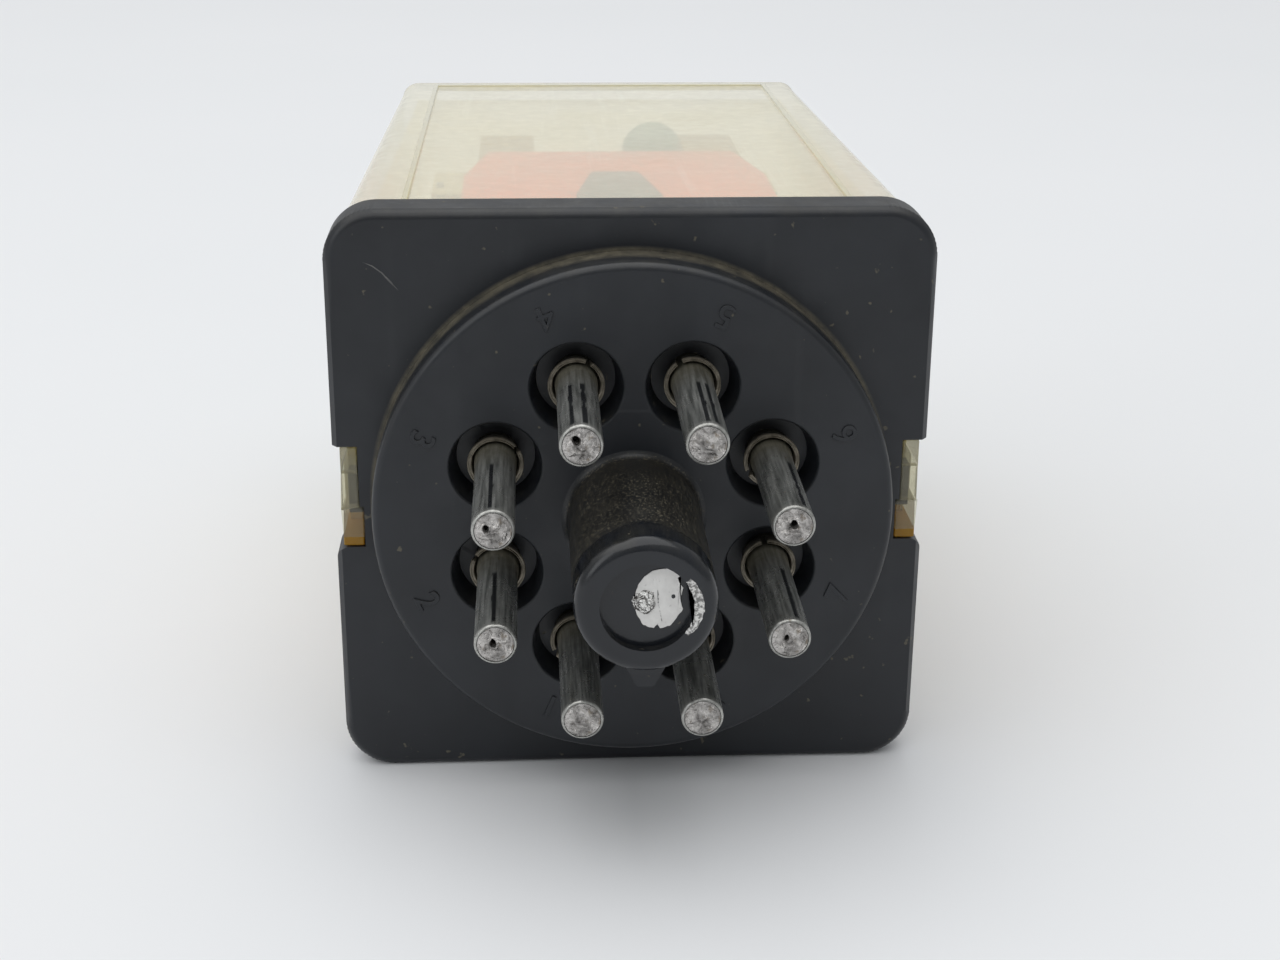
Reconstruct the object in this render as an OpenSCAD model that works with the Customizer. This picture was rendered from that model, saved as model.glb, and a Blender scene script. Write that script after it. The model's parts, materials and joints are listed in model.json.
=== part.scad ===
// Plug-in relay with an octal base: eight pins round a keyed guide post, a clear push-on cover,
// and inside it a coil, an L-shaped yoke, a hinged armature and two changeover contact sets.
// Y runs along the relay: the pins point to -Y and the cover reaches to +Y. Z is up, with the key
// at the bottom. The origin is the centre of the seating face. All lengths are in millimetres.

/* [Base] */
// Side of the square base plate
plate_w = 35.5; // [35:0.1:37]
// Thickness of the base plate
plate_t = 3; // [2.6:0.1:3.4]
// Corner radius of the base plate
plate_corner = 3; // [2:0.1:4]
// Bevel round the front edge of the plate
plate_bevel = 0.4; // [0.2:0.1:0.8]
// Radius of the round seating disc
disc_r = 15.35; // [14:0.05:16]
// Height of the seating disc in front of the plate
disc_h = 3; // [2.5:0.1:4]
// Rounding of the disc's front edge
disc_round = 0.7; // [0.3:0.1:1.2]
// Radius of the guide post
post_r = 3.88; // [3.7:0.02:4]
// Length of the guide post
post_len = 12.7; // [11:0.1:14]
// Rounding of the post's end
post_round = 0.4; // [0.2:0.1:0.8]
// Radius of the shallow recess in the post's end
post_recess_r = 2.5; // [1.5:0.1:3]
// Depth of the recess in the post's end
post_recess = 0.6; // [0.4:0.1:2]
// How far the key ridge stands out of the post
key_h = 1; // [0.6:0.05:1.2]
// Width of the key ridge at its root
key_w = 2.4; // [1.6:0.1:3]

/* [Pins] */
// Radius of the circle that the pins stand on
pin_circle_r = 8.725; // [8.6:0.025:8.9]
// Radius of a pin
pin_r = 1.18; // [1.1:0.01:1.25]
// Radius of the collar at a pin's root, behind the seating face
collar_r = 1.36; // [1.34:0.01:1.4]
// Radius of the bore inside a pin
pin_bore_r = 0.8; // [0.7:0.05:0.9]
// Length of a pin in front of the seating face
pin_len = 9.8; // [9:0.1:11]
// Radius of the recess round each pin
well_r = 2.68; // [2.2:0.02:2.8]
// Depth of the recess round each pin
well_depth = 2.2; // [1.6:0.1:2.6]
// Radius of the flared rim round each pin
rim_r = 1.66; // [1.4:0.02:2]
// How far the flared rim lies below the seating face
rim_drop = 0.5; // [0.3:0.1:1.2]

/* [Cover] */
// Outer width of the clear cover at the base plate
cover_w = 34.2; // [34:0.1:34.4]
// How much each side of the cover has drawn in at its far end
cover_draft = 0.9; // [0.5:0.1:1]
// Corner radius of the cover
cover_corner = 1.6; // [1.2:0.1:2.4]
// Distance from the seating face to the cover's far end
cover_end = 57; // [56:0.5:62]
// Wall thickness of the cover
cover_wall = 1.3; // [1:0.05:1.35]
// Height of the snap tab and its notch
tab_h = 6.4; // [5:0.2:8]
// Depth of the notch in each side of the plate
notch_depth = 1.5; // [1.3:0.05:1.6]
// Height of the notch's middle against the relay's axis
notch_z = 0.4; // [0:0.1:0.6]

/* [Coil] */
// Height of the coil's axis against the relay's axis
coil_z = -2; // [-2.1:0.1:-1.9]
// Radius of the core
core_r = 3.5; // [3:0.1:3.8]
// Radius of the pole shoe
pole_r = 5; // [4:0.1:5.4]
// Radius of the bobbin's flanges
flange_r = 8.3; // [7:0.1:8.4]
// Outer radius of the winding
winding_r = 7.6; // [6:0.1:7.8]

/* [Mechanism] */
// Thickness of the yoke
yoke_t = 1.5; // [1.2:0.1:1.5]
// Width of the yoke
yoke_w = 16; // [14:0.5:16]
// Thickness of the armature
armature_t = 1.3; // [1:0.1:1.3]
// Width of a contact blade
blade_w = 4; // [3:0.1:4.4]
// Distance of each contact set from the middle
pole_x = 7.5; // [7.2:0.1:7.8]
// Radius of a contact button
button_r = 1.3; // [1:0.1:1.5]
// Thickness of a contact button
button_t = 0.8; // [0.6:0.05:0.8]
// Turns of the return spring
spring_turns = 13; // [8:1:16]

/* [Hidden] */
$fn = 64;

// Clearances
gap = 0.1;
fit = 0.02;

// Positions along Y
boss_t = 3;
plate_y = disc_h;
back_y = plate_y + plate_t;
boss_back_y = back_y + boss_t;
yoke_y = 13;
// Where the bobbin and the contact block meet the yoke
seat_y = yoke_y + yoke_t + gap;
core_end_y = 38.2;
pole_t = 1.2;
hinge_y = 39.1;
blade_y = hinge_y + 1;
block_end_y = 34;
nc_face_y = 41.45;
no_face_y = 37.95;

// Heights
hinge_z = -10.5;
contact_z = 11.5;
block_z = 7.2;
block_top_z = 14.9;
no_z = 8.2;
nc_z = 14;

// Small parts
pin_proud = 0.6;
pin_tail = boss_back_y + pin_proud;
nose = 0.3;
slit = 0.25;
cup_depth = 0.6;
blade_t = 0.4;
leg_t = 0.45;
tip_h = 0.4;
notch_x = plate_w / 2 - notch_depth;
pocket_depth = 0.25;
pocket_h = 2.6;
tab_inset = 0.45;
tab_out = plate_w / 2 - tab_inset;
screw_x = 10.4;
block_screw_x = 4;
block_screw_z = 10;
spring_z = -13.3;
spring_r = 1;
wire_r = 0.35;
braid_r = 0.6;

// Angle of pin n round the relay's axis, seen from the pins' side; pin 1 is left of the key
function pin_angle(n) = -67.5 - 45 * n;
function pin_x(n) = pin_circle_r * cos(pin_angle(n));
function pin_z(n) = pin_circle_r * sin(pin_angle(n));

// Extrudes a flat shape drawn in X and Z from y0 to y1
module slab(y0, y1) {
    translate([0, y1, 0])
        rotate([90, 0, 0])
            linear_extrude(y1 - y0)
                children();
}

// Round rod along Y
module rod(y0, y1, r, x = 0, z = 0) {
    translate([x, y1, z])
        rotate([90, 0, 0])
            cylinder(h = y1 - y0, r = r);
}

// Turns a profile of [radius, distance towards -Y] points round a line along Y
module turned(profile, x = 0, z = 0) {
    translate([x, 0, z])
        rotate([90, 0, 0])
            rotate_extrude()
                polygon(profile);
}

// Box given by its two corners
module block(low, high) {
    translate(low)
        cube(high - low);
}

module rounded_square(w, r) {
    square([w, w - 2 * r], center = true);
    square([w - 2 * r, w], center = true);
    for (x = [-1, 1], z = [-1, 1])
        translate([x * (w / 2 - r), z * (w / 2 - r)])
            circle(r);
}

// Points of a quarter round that ends a profile: from radius r at height h - q to r - q at h
function round_end(r, h, q) = [for (a = [0:15:90]) [r - q + q * cos(a), h - q + q * sin(a)]];

// Smooth path through a short list of points
function blend(a, b, c, d, u) =
    0.5 * (2 * b + (c - a) * u + (2 * a - 5 * b + 4 * c - d) * u * u + (3 * b - a - 3 * c + d) * u * u * u);
function spline(p, steps) = concat(
    [for (i = [0:len(p) - 2], k = [0:steps - 1])
        blend(p[max(i - 1, 0)], p[i], p[i + 1], p[min(i + 2, len(p) - 1)], k / steps)],
    [p[len(p) - 1]]);
function unit(v) = v / norm(v);
function heading(p, i) = unit(p[min(i + 1, len(p) - 1)] - p[max(i - 1, 0)]);
function sideways(t) = unit(cross(t, abs(t.x) < 0.8 ? [1, 0, 0] : [0, 1, 0]));
function normals(p, i, last) = i == len(p) ? [] :
    let (t = heading(p, i), n = unit(last - t * (last * t)))
    concat([n], normals(p, i + 1, n));

// Round tube of n flat sides that follows a path
module tube(path, r, n = 8) {
    side = normals(path, 0, sideways(heading(path, 0)));
    points = [for (i = [0:len(path) - 1], k = [0:n - 1])
        path[i] + r * cos(360 * k / n) * side[i] + r * sin(360 * k / n) * cross(heading(path, i), side[i])];
    walls = [for (i = [0:len(path) - 2], k = [0:n - 1])
        let (a = i * n + k, b = i * n + (k + 1) % n)
        each [[a, a + n, b + n], [a, b + n, b]]];
    ends = [[for (k = [0:n - 1]) k], [for (k = [n - 1:-1:0]) (len(path) - 1) * n + k]];
    polyhedron(points, concat(walls, ends));
}

// Path mirrored to the other side of the relay when s is -1
function to_side(path, s) = [for (p = path) [s * p.x, p.y, p.z]];

// Screw along Y with its head's underside at y, its shank running to +Y or -Y
module screw(x, y, z, head_r, head_t, shank_r, shank, way) {
    head_y = way > 0 ? y - head_t : y;
    slot_y = way > 0 ? y - head_t : y + head_t;
    slot_w = 0.4;
    slot_depth = 0.4;
    difference() {
        union() {
            rod(head_y, head_y + head_t, head_r, x, z);
            rod(way > 0 ? y - gap : y - shank, way > 0 ? y + shank : y + gap, shank_r, x, z);
        }
        translate([x, slot_y, z])
            cube([3 * head_r, 2 * slot_depth, slot_w], center = true);
    }
}

// ---- Base ----

// Square plate with a notch in each side. The notch is deeper in its lower part, and the plate's
// corner under it is rounded.
module plate_outline() {
    corner = 0.8;
    low_z = notch_z - tab_h / 2;
    difference() {
        rounded_square(plate_w, plate_corner);
        for (s = [-1, 1]) {
            translate([s * (notch_x + notch_depth), notch_z])
                square([2 * notch_depth, tab_h], center = true);
            translate([s * (notch_x + notch_depth), low_z + pocket_h / 2])
                square([2 * (notch_depth + pocket_depth), pocket_h], center = true);
            translate([s * (plate_w / 2 + gap), low_z])
                square([2 * (corner + gap), 2 * corner], center = true);
        }
    }
    for (s = [-1, 1])
        translate([s * (plate_w / 2 - corner), low_z - corner])
            circle(corner);
}

module plate_bevel_cut() {
    difference() {
        slab(plate_y - gap, plate_y + plate_bevel)
            square(2 * plate_w, center = true);
        hull() {
            slab(plate_y - gap, plate_y)
                rounded_square(plate_w - 2 * plate_bevel, plate_corner - plate_bevel);
            slab(plate_y + plate_bevel, plate_y + plate_bevel + gap)
                rounded_square(plate_w, plate_corner);
        }
    }
}

module key_ridge() {
    chamfer = 0.6;
    root_depth = 0.4;
    root_z = root_depth - post_r;
    key_flat = 0.9;
    slab(-post_len + chamfer, 0)
        polygon([[-key_w / 2, root_z], [-key_flat / 2, -post_r - key_h],
            [key_flat / 2, -post_r - key_h], [key_w / 2, root_z]]);
}

// Locating tongue on the base's back that the contact block's groove takes
tongue_z = 13.8;
module tongue_outline(spare) {
    wide = 2.7 + spare;
    narrow = 1.5 + spare;
    taper_y = 20;
    end_y = 27 + spare;
    polygon([[-wide, back_y], [wide, back_y], [wide, taper_y],
        [narrow, end_y], [-narrow, end_y], [-wide, taper_y]]);
}

module base() {
    boss_w = cover_w - 2 * cover_wall - 2 * gap;
    catch_out = 0.7;
    catch_t = 1.2;
    catch_h = 2.6;
    screw_boss_r = 1.9;
    color([0.06, 0.06, 0.07])
        difference() {
            union() {
                slab(plate_y, back_y)
                    plate_outline();
                turned(concat([[0, -plate_y - gap], [disc_r, -plate_y - gap]],
                    round_end(disc_r, 0, disc_round), [[0, 0]]));
                turned(concat([[0, -gap], [post_r, -gap]],
                    round_end(post_r, post_len, post_round), [[0, post_len]]));
                key_ridge();
                slab(back_y - gap, boss_back_y)
                    rounded_square(boss_w, cover_corner - cover_wall);
                for (s = [-1, 1])
                    rod(boss_back_y - gap, yoke_y, screw_boss_r, s * screw_x, 0);
                translate([0, 0, tongue_z])
                    linear_extrude(block_top_z - tongue_z)
                        tongue_outline(0);
                for (s = [-1, 1])
                    translate([s * notch_x, plate_y + plate_t / 2, notch_z])
                        cube([2 * catch_out, catch_t, catch_h], center = true);
            }
            plate_bevel_cut();
            rod(-post_len - gap, -post_len + post_recess, post_recess_r);
            for (n = [1:8]) {
                rod(-gap, well_depth, well_r, pin_x(n), pin_z(n));
                rod(-gap, boss_back_y + gap, collar_r + fit, pin_x(n), pin_z(n));
            }
            for (s = [-1, 1])
                rod(boss_back_y, yoke_y + gap, screw_shank_r + fit, s * screw_x, 0);
        }
}

// ---- Pins ----

// Pin with a rounded nose and a flared rim that is split once. Its bore is open at the tail, where the
// wire enters, and at the tip, which holds the solder; between them the wire and solder fill it.
module pin(n, slit_angle) {
    rim_t = 0.17;
    bore_start = 3;
    floor_h = -well_depth + fit;
    color([0.62, 0.6, 0.55])
        difference() {
            union() {
                turned(concat([[0, -pin_tail], [collar_r, -pin_tail], [collar_r, -gap], [pin_r, 0]],
                    round_end(pin_r, pin_len, nose), [[0, pin_len]]), pin_x(n), pin_z(n));
                turned([[pin_r - gap, floor_h], [collar_r + rim_t, floor_h], [rim_r, -rim_drop],
                    [rim_r - rim_t, -rim_drop], [collar_r + fit, floor_h + 3 * rim_t],
                    [pin_r - gap, floor_h + rim_t]], pin_x(n), pin_z(n));
            }
            rod(bore_start, pin_tail + gap, pin_bore_r, pin_x(n), pin_z(n));
            rod(-pin_len - gap, -pin_len + cup_depth, pin_bore_r, pin_x(n), pin_z(n));
            translate([pin_x(n), 0, pin_z(n)])
                rotate([0, -slit_angle, 0])
                    translate([collar_r + fit, rim_drop - gap, -slit / 2])
                        cube([2 * rim_r, well_depth - rim_drop - gap, slit]);
        }
}
module pin_1() { pin(1, 210); }
module pin_2() { pin(2, 150); }
module pin_3() { pin(3, 35); }
module pin_4() { pin(4, 60); }
module pin_5() { pin(5, 120); }
module pin_6() { pin(6, 210); }
module pin_7() { pin(7, 100); }
module pin_8() { pin(8, 300); }

module solder_tips() {
    fill = cup_depth - fit;
    dome = 0.15;
    tip_r = pin_bore_r - fit;
    color([0.75, 0.75, 0.74])
        for (n = [1:8])
            turned([[0, pin_len - fill], [tip_r, pin_len - fill], [tip_r, pin_len],
                [tip_r / 2, pin_len + dome], [0, pin_len + dome]], pin_x(n), pin_z(n));
}

// Dab of silver lacquer in the post's recess
module seal_dab() {
    floor_y = -post_len + post_recess;
    // Radius, thickness and place in X and Z of the round patches that make up the dab
    patches = [[1.15, 0.3, 0.95, 0.5], [0.6, 0.45, 0.8, 0.2], [0.7, 0.25, 1.2, 1.2], [0.65, 0.25, 0.4, -0.6]];
    color([0.78, 0.78, 0.76])
        for (p = patches)
            rod(floor_y - p[1], floor_y - fit, p[0], p[2], p[3]);
}

// ---- Cover ----

// Part of a snap tab, from x = inner to the tab's outer face on side s
module snap_tab(s, inner, y0, y1, z0, z1) {
    block([s > 0 ? inner : -tab_out, y0, z0], [s > 0 ? tab_out : -inner, y1, z1]);
}

// Square rod along Y that narrows by the cover's draft towards its far end
module drafted(y0, y1, w, corner) {
    hull() {
        slab(y0, y0 + gap)
            rounded_square(w, corner);
        slab(y1 - gap, y1)
            rounded_square(w - 2 * cover_draft, corner);
    }
}

module cover() {
    lip_y = back_y + 0.05;
    tab_end_y = plate_y + 0.1;
    tab_root_y = back_y + 5;
    tab_clear = 0.06;
    low_z = notch_z - tab_h / 2 + tab_clear;
    window_h = 3;
    window_t = 1.5;
    color([0.9, 0.85, 0.6, 0.3])
        difference() {
            union() {
                drafted(lip_y, cover_end, cover_w, cover_corner);
                for (s = [-1, 1]) {
                    snap_tab(s, notch_x + tab_clear, tab_end_y, tab_root_y, low_z,
                        notch_z + tab_h / 2 - tab_clear);
                    snap_tab(s, notch_x - pocket_depth + tab_clear, tab_end_y, tab_root_y, low_z,
                        notch_z - tab_h / 2 + pocket_h - tab_clear);
                }
            }
            drafted(lip_y - gap, cover_end - cover_wall, cover_w - 2 * cover_wall, cover_corner - cover_wall);
            for (s = [-1, 1])
                translate([s * (notch_x + notch_depth), plate_y + plate_t / 2, notch_z])
                    cube([3 * notch_depth, window_t, window_h], center = true);
        }
}

// ---- Coil and frame ----

screw_shank_r = 0.9;
module yoke() {
    ear_h = 4.4;
    lug_y = 20.4;
    lug_t = 1.4;
    lug_w = 3;
    upright_w = 10.6;
    upright_z = 12;
    horn = 2;
    horn_w = 2.9;
    lug_h = 1;
    low_z = hinge_z - yoke_t;
    color([0.72, 0.72, 0.7])
        difference() {
            union() {
                block([-yoke_w / 2, yoke_y, low_z], [yoke_w / 2, yoke_y + yoke_t, block_z - gap]);
                block([-upright_w / 2, yoke_y, 0], [upright_w / 2, yoke_y + yoke_t, upright_z]);
                block([-screw_x, yoke_y, -ear_h / 2], [screw_x, yoke_y + yoke_t, ear_h / 2]);
                for (s = [-1, 1])
                    rod(yoke_y, yoke_y + yoke_t, ear_h / 2, s * screw_x, 0);
                block([-yoke_w / 2, yoke_y, low_z], [yoke_w / 2, hinge_y - gap, hinge_z]);
                for (s = [-1, 1])
                    block([s * yoke_w / 2 - (s > 0 ? horn_w : 0), hinge_y - 2 * gap, low_z],
                        [s * yoke_w / 2 + (s > 0 ? 0 : horn_w), hinge_y + horn, hinge_z]);
                block([-lug_w / 2, lug_y, spring_z - lug_h], [lug_w / 2, lug_y + lug_t, low_z + gap]);
            }
            for (s = [-1, 1])
                rod(yoke_y - gap, yoke_y + yoke_t + gap, screw_shank_r + fit, s * screw_x, 0);
            for (s = [-1, 1])
                rod(yoke_y - gap, yoke_y + yoke_t + gap, block_shank_r + fit,
                    s * block_screw_x, block_screw_z);
            rod(yoke_y - gap, yoke_y + yoke_t + gap, core_tail_r + fit, 0, coil_z);
            rod(lug_y - gap, lug_y + lug_t + gap, wire_r + 2 * gap, 0, spring_z);
        }
}

module frame_screws() {
    head_r = 1.6;
    head_t = 0.9;
    shank = 4.4;
    color([0.8, 0.8, 0.78])
        for (s = [-1, 1])
            screw(s * screw_x, yoke_y + yoke_t + fit, 0, head_r, head_t, screw_shank_r, shank, -1);
}

core_tail_r = 2.4;
module core() {
    tail = 0.8;
    color([0.6, 0.6, 0.58])
        union() {
            rod(yoke_y - tail, seat_y, core_tail_r, 0, coil_z);
            rod(seat_y - fit, core_end_y, core_r, 0, coil_z);
            rod(core_end_y - pole_t, core_end_y, pole_r, 0, coil_z);
        }
}

bobbin_end_y = core_end_y - pole_t - gap;
flange_t = 1.2;
sleeve_t = 0.8;
sleeve_r = core_r + sleeve_t;
module bobbin() {
    color([0.8, 0.25, 0.12])
        difference() {
            union() {
                rod(seat_y, seat_y + flange_t, flange_r, 0, coil_z);
                rod(bobbin_end_y - flange_t, bobbin_end_y, flange_r, 0, coil_z);
                rod(seat_y, bobbin_end_y, sleeve_r, 0, coil_z);
            }
            rod(seat_y - gap, bobbin_end_y + gap, core_r + fit, 0, coil_z);
        }
}

// Round sleeve on the coil's axis, between the bobbin's flanges
module coil_layer(inner, outer) {
    difference() {
        rod(seat_y + flange_t + fit, bobbin_end_y - flange_t - fit, outer, 0, coil_z);
        rod(seat_y, bobbin_end_y, inner, 0, coil_z);
    }
}
module winding() {
    color([0.55, 0.25, 0.12])
        coil_layer(sleeve_r + fit, winding_r);
}
module coil_tape() {
    tape_t = 0.25;
    color([0.72, 0.52, 0.2])
        coil_layer(winding_r + fit, winding_r + tape_t);
}

// Every wire starts in the bore of its pin
coil_route = [[8.06, 4, -3.34], [8.06, 9.9, -3.34], [9.4, 11.4, -4.6], [10.2, 13.4, -5.2], [9.8, 16.4, -4.6],
    [8.3, 17.6, -3.6]];
module coil_leads() {
    color([0.75, 0.2, 0.1])
        for (s = [-1, 1])
            tube(spline(to_side(coil_route, s), 4), wire_r);
}

// ---- Contacts ----

block_shank_r = 0.8;
module contact_block() {
    wide = 10.3;
    narrow = 8.8;
    taper_y = 26;
    screw_hole = 5;
    slot_w = blade_w + 2 * fit;
    difference() {
        color([0.82, 0.26, 0.13])
            translate([0, 0, block_z])
                linear_extrude(block_top_z - block_z)
                    polygon([[-wide, seat_y], [wide, seat_y], [wide, taper_y], [narrow, block_end_y],
                        [-narrow, block_end_y], [-wide, taper_y]]);
        translate([0, 0, tongue_z - gap])
            linear_extrude(block_top_z)
                tongue_outline(gap);
        for (s = [-1, 1]) {
            block([s * pole_x - slot_w / 2, seat_y - gap, no_z - fit],
                [s * pole_x + slot_w / 2, block_end_y + gap, no_z + blade_t + fit]);
            block([s * pole_x - slot_w / 2, seat_y - gap, nc_z - fit],
                [s * pole_x + slot_w / 2, block_end_y + gap, nc_z + blade_t + fit]);
            rod(seat_y - gap, seat_y + screw_hole, block_shank_r + fit, s * block_screw_x, block_screw_z);
        }
    }
}

module block_screws() {
    head_r = 1.5;
    head_t = 0.9;
    shank = 5.6;
    color([0.8, 0.8, 0.78])
        for (s = [-1, 1])
            screw(s * block_screw_x, yoke_y - fit, block_screw_z, head_r, head_t, block_shank_r, shank, 1);
}

blade_tail_y = 12.6;
// Lower blade: runs out of the block and turns up in front of the moving contact
module no_blade(s) {
    leg_y = no_face_y - button_t - leg_t;
    top_z = contact_z + button_r + tip_h;
    color([0.8, 0.62, 0.3])
        difference() {
            union() {
                block([s * pole_x - blade_w / 2, blade_tail_y, no_z],
                    [s * pole_x + blade_w / 2, leg_y + leg_t, no_z + blade_t]);
                block([s * pole_x - blade_w / 2, leg_y, no_z],
                    [s * pole_x + blade_w / 2, leg_y + leg_t, top_z]);
            }
            rod(leg_y - gap, leg_y + leg_t + gap, button_stem_r + fit, s * pole_x, contact_z);
        }
}
// Upper blade: passes over the moving contact and turns down behind it
module nc_blade(s) {
    leg_y = nc_face_y + button_t;
    low_z = contact_z - button_r - tip_h;
    color([0.8, 0.62, 0.3])
        difference() {
            union() {
                block([s * pole_x - blade_w / 2, blade_tail_y, nc_z],
                    [s * pole_x + blade_w / 2, leg_y + leg_t, nc_z + blade_t]);
                block([s * pole_x - blade_w / 2, leg_y, low_z],
                    [s * pole_x + blade_w / 2, leg_y + leg_t, nc_z + blade_t]);
            }
            rod(leg_y - gap, leg_y + leg_t + gap, button_stem_r + fit, s * pole_x, contact_z);
        }
}
module no_blade_left() { no_blade(-1); }
module no_blade_right() { no_blade(1); }
module nc_blade_left() { nc_blade(-1); }
module nc_blade_right() { nc_blade(1); }

button_stem_r = 0.6;
// Contact button whose face looks along Y, with a stem through its blade
module button(x, face_y, way, stem) {
    y_low = way > 0 ? face_y - button_t : face_y;
    rod(y_low, y_low + button_t, button_r, x, contact_z);
    rod(way > 0 ? face_y - button_t - stem : face_y, way > 0 ? face_y : face_y + button_t + stem,
        button_stem_r, x, contact_z);
}
module fixed_contacts() {
    stem = leg_t + 0.2;
    color([0.85, 0.85, 0.86])
        for (s = [-1, 1]) {
            button(s * pole_x, no_face_y, 1, stem);
            button(s * pole_x, nc_face_y, -1, stem);
        }
}

no_route = [[8.06, 4, 3.34], [8.06, 9.9, 3.34], [8.8, 11, 5], [9, 11.5, 6.6], [8.6, 11.9, 7.8],
    [8.2, 12.9, 7.8]];
nc_route = [[3.34, 4, 8.06], [3.34, 9.9, 8.06], [5, 10.9, 10], [7, 11.3, 12], [7.6, 11.9, 13.4],
    [7.6, 12.9, 13.6]];
module contact_wires() {
    color([0.5, 0.5, 0.5])
        for (s = [-1, 1]) {
            tube(spline(to_side(no_route, s), 4), wire_r);
            tube(spline(to_side(nc_route, s), 4), wire_r);
        }
}

// ---- Armature and what swings with it ----

rivet_x = 6.2;
rivet_z = -1;
rivet_r = 0.9;
module armature() {
    wide = 15;
    tail_w = 9.4;
    top_z = 4;
    tail_z = -14.4;
    hook_hole_r = 0.55;
    color([0.7, 0.7, 0.68])
        difference() {
            union() {
                block([-wide / 2, hinge_y, hinge_z + gap], [wide / 2, hinge_y + armature_t, top_z]);
                block([-tail_w / 2, hinge_y, tail_z], [tail_w / 2, hinge_y + armature_t, hinge_z + 2 * gap]);
            }
            for (s = [-1, 1])
                rod(hinge_y - gap, hinge_y + armature_t + gap, rivet_r + fit, s * rivet_x, rivet_z);
            rod(hinge_y - gap, hinge_y + armature_t + gap, hook_hole_r, 0, spring_z);
        }
}

carrier_y = blade_y + blade_t + fit;
carrier_t = 2.6;
module contact_carrier() {
    carrier_low = -5;
    carrier_top = 8;
    carrier_w = 20;
    color([0.36, 0.16, 0.1])
        difference() {
            block([-carrier_w / 2, carrier_y, carrier_low],
                [carrier_w / 2, carrier_y + carrier_t, carrier_top]);
            for (s = [-1, 1]) {
                rod(carrier_y - gap, carrier_y + carrier_t + gap, rivet_r + fit, s * rivet_x, rivet_z);
                for (z = small_rivet_z)
                    rod(carrier_y - gap, carrier_y + carrier_t + gap, small_rivet_r + fit, s * pole_x, z);
            }
        }
}

// Rivet along Y with a domed head at each end
module rivet(x, z, y0, y1, shank_r, head_r, head_t) {
    rod(y0 - head_t, y1 + head_t, shank_r, x, z);
    rod(y0 - head_t, y0, head_r, x, z);
    rod(y1, y1 + head_t, head_r, x, z);
}
module armature_rivets() {
    head_r = 1.3;
    head_t = 0.5;
    color([0.8, 0.8, 0.78])
        for (s = [-1, 1])
            rivet(s * rivet_x, rivet_z, hinge_y - fit, carrier_y + carrier_t + fit, rivet_r, head_r, head_t);
}

small_rivet_z = [5.4, 7];
small_rivet_r = 0.45;
module blade_rivets() {
    head_r = 0.7;
    head_t = 0.3;
    color([0.8, 0.8, 0.78])
        for (s = [-1, 1], z = small_rivet_z)
            rivet(s * pole_x, z, blade_y - fit, carrier_y + carrier_t + fit, small_rivet_r, head_r, head_t);
}

module moving_blade(s) {
    foot_z = 4.4;
    top_z = contact_z + button_r + tip_h;
    color([0.8, 0.62, 0.3])
        difference() {
            block([s * pole_x - blade_w / 2, blade_y, foot_z],
                [s * pole_x + blade_w / 2, blade_y + blade_t, top_z]);
            rod(blade_y - gap, blade_y + blade_t + gap, button_stem_r + fit, s * pole_x, contact_z);
            for (z = small_rivet_z)
                rod(blade_y - gap, blade_y + blade_t + gap, small_rivet_r + fit, s * pole_x, z);
        }
}
module moving_blade_left() { moving_blade(-1); }
module moving_blade_right() { moving_blade(1); }

module moving_contacts() {
    color([0.85, 0.85, 0.86])
        for (s = [-1, 1])
            union() {
                rod(blade_y - button_t, blade_y - fit, button_r, s * pole_x, contact_z);
                rod(blade_y + blade_t + fit, blade_y + blade_t + button_t, button_r, s * pole_x, contact_z);
                rod(blade_y - button_t / 2, blade_y + blade_t + button_t / 2, button_stem_r,
                    s * pole_x, contact_z);
            }
}

// ---- Spring and flexible leads ----

spring_wire_r = 0.18;
module return_spring() {
    coil_start = 23;
    coil_end = 37.4;
    hook = 0.6;
    steps = 10;
    turn_points = [for (k = [0:spring_turns * steps])
        [spring_r * sin(360 * k / steps), coil_start + (coil_end - coil_start) * k / (spring_turns * steps),
            spring_z + spring_r * cos(360 * k / steps)]];
    near_hook = [[0, 19.6, spring_z - hook], [0, 19.9, spring_z], [0, 22.2, spring_z],
        [0, 22.7, spring_z + hook]];
    far_hook = [[0, 37.7, spring_z + hook], [0, 38.1, spring_z], [0, 40.9, spring_z],
        [0, 41.2, spring_z - hook]];
    color([0.75, 0.75, 0.76])
        tube(concat(near_hook, turn_points, far_hook), spring_wire_r, 6);
}

braid_route = [[7.5, 43.9, 3.2], [8.6, 45.2, 2.6], [10.8, 44.6, 1.4], [12.4, 41, 0.4], [12.8, 34, -1.5],
    [12.7, 24, -3.5], [12.2, 17, -5.2], [11, 13, -7], [8, 11.2, -7.8], [5, 10.7, -8.06], [3.34, 9.4, -8.06],
    [3.34, 4, -8.06]];
module braid_left() {
    color([0.72, 0.45, 0.28])
        tube(spline(to_side(braid_route, -1), 3), braid_r);
}
module braid_right() {
    color([0.72, 0.45, 0.28])
        tube(spline(to_side(braid_route, 1), 3), braid_r);
}

// ---- Indicator lamp ----

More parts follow.
